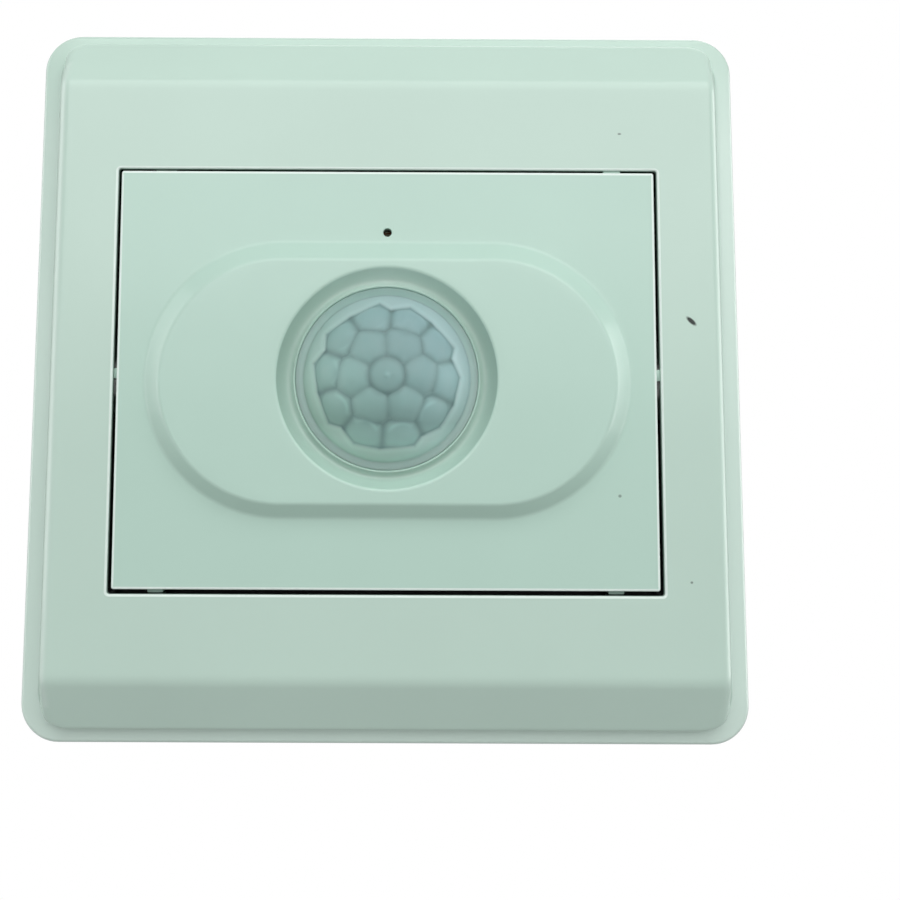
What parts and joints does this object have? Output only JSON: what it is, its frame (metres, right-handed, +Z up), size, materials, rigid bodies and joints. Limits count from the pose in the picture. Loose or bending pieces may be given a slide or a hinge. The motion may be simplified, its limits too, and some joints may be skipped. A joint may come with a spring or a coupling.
{
  "type": "motion sensor light switch",
  "caption": "Square wall switch that turns a light on when its infrared sensor behind a faceted lens dome sees movement; clip-on front, base plate and rear box with relay and terminals.",
  "frame": {"origin": "centre of the two fixing slots, on the wall plane", "axes": "+Z up as it hangs on the wall, -Y out of the wall towards the viewer, +X to the viewer's right"},
  "size_m": [0.086, 0.0417, 0.086],
  "materials": {
    "front_plastic": "satin moulded",
    "lens_plastic": "milky, faceted",
    "base_plastic": "moulded",
    "steel": "zinc plated",
    "tin": "tin plated",
    "iron": "nickel plated",
    "board": "solder resist",
    "filter": "polished",
    "gold_pin": "gold plated",
    "ceramic": "coated",
    "blue_plastic": "moulded",
    "rotor_plastic": "moulded",
    "black_plastic": "moulded",
    "sleeve": "shrink sleeve",
    "film_case": "moulded",
    "fuse_case": "moulded",
    "resistor_coat": "lacquered",
    "copper": "copper alloy",
    "terminal_plastic": "moulded",
    "brass": "plain"
  },
  "bodies": {
    "base": {"base_plate": "base_plastic", "rear_cover": "base_plastic", "cover_screws": "steel", "sensor_board": "board", "board_screws": "steel", "pir_can": "tin", "pir_window": "filter", "pir_leads": "gold_pin", "light_sensor": "ceramic", "time_trimmer": "blue_plastic", "lux_trimmer": "blue_plastic", "control_chip": "black_plastic", "chip_leads": "tin", "signal_capacitors": "sleeve", "board_link": "black_plastic", "power_board": "board", "film_capacitor": "film_case", "filter_capacitor": "sleeve", "surge_disc": "blue_plastic", "fuse": "fuse_case", "rectifier_diodes": "black_plastic", "dropper_resistors": "resistor_coat", "relay_base": "black_plastic", "relay_cover": "blue_plastic", "relay_iron": "iron", "relay_bobbin": "base_plastic", "relay_winding": "copper", "relay_contact": "copper", "line_pole": "terminal_plastic", "neutral_pole": "terminal_plastic", "load_pole": "terminal_plastic", "terminal_contacts": "brass"},
    "front": {"front_frame": "front_plastic", "sensor_panel": "front_plastic", "fresnel_lens": "lens_plastic", "lens_retainer": "base_plastic"},
    "time_rotor": {"time_rotor": "rotor_plastic"},
    "lux_rotor": {"lux_rotor": "rotor_plastic"},
    "armature": {"relay_armature": "iron", "relay_blade": "copper"},
    "line_screw": {"line_screw": "steel"},
    "neutral_screw": {"neutral_screw": "steel"},
    "load_screw": {"load_screw": "steel"},
    "line_cage": {"line_cage": "tin"},
    "neutral_cage": {"neutral_cage": "tin"},
    "load_cage": {"load_cage": "tin"}
  },
  "joints": [
    {"name": "front_pull", "type": "slide", "parent": "base", "child": "front", "axis": [0, -1, 0], "range_m": [0, 0.025]},
    {"name": "time_turn", "type": "hinge", "parent": "base", "child": "time_rotor", "pos_m": [-0.009, 0, -0.014], "axis": [0, -1, 0], "range_deg": [-105, 105]},
    {"name": "lux_turn", "type": "hinge", "parent": "base", "child": "lux_rotor", "pos_m": [0.009, 0, -0.014], "axis": [0, -1, 0], "range_deg": [-105, 105]},
    {"name": "armature_swing", "type": "hinge", "parent": "base", "child": "armature", "pos_m": [-0.0193, 0.0216, 0.01105], "axis": [0, 0, -1], "range_deg": [0, 4.5], "stiffness_Nm_per_rad": 0.05, "springref_deg": -5.73},
    {"name": "line_turn", "type": "hinge", "parent": "base", "child": "line_screw", "pos_m": [-0.00762, 0.02, -0.0216], "axis": [0, -1, 0], "range_deg": [0, 2304]},
    {"name": "line_clamp", "type": "slide", "parent": "base", "child": "line_cage", "axis": [0, 1, 0], "range_m": [0, 0.0032]},
    {"name": "neutral_turn", "type": "hinge", "parent": "base", "child": "neutral_screw", "pos_m": [0, 0.02, -0.0216], "axis": [0, -1, 0], "range_deg": [0, 2304]},
    {"name": "neutral_clamp", "type": "slide", "parent": "base", "child": "neutral_cage", "axis": [0, 1, 0], "range_m": [0, 0.0032]},
    {"name": "load_turn", "type": "hinge", "parent": "base", "child": "load_screw", "pos_m": [0.00762, 0.02, -0.0216], "axis": [0, -1, 0], "range_deg": [0, 2304]},
    {"name": "load_clamp", "type": "slide", "parent": "base", "child": "load_cage", "axis": [0, 1, 0], "range_m": [0, 0.0032]}
  ],
  "couplings": [
    {"joint": "line_turn", "follows": "line_clamp", "rad_per_m": 12566},
    {"joint": "neutral_turn", "follows": "neutral_clamp", "rad_per_m": 12566},
    {"joint": "load_turn", "follows": "load_clamp", "rad_per_m": 12566}
  ]
}
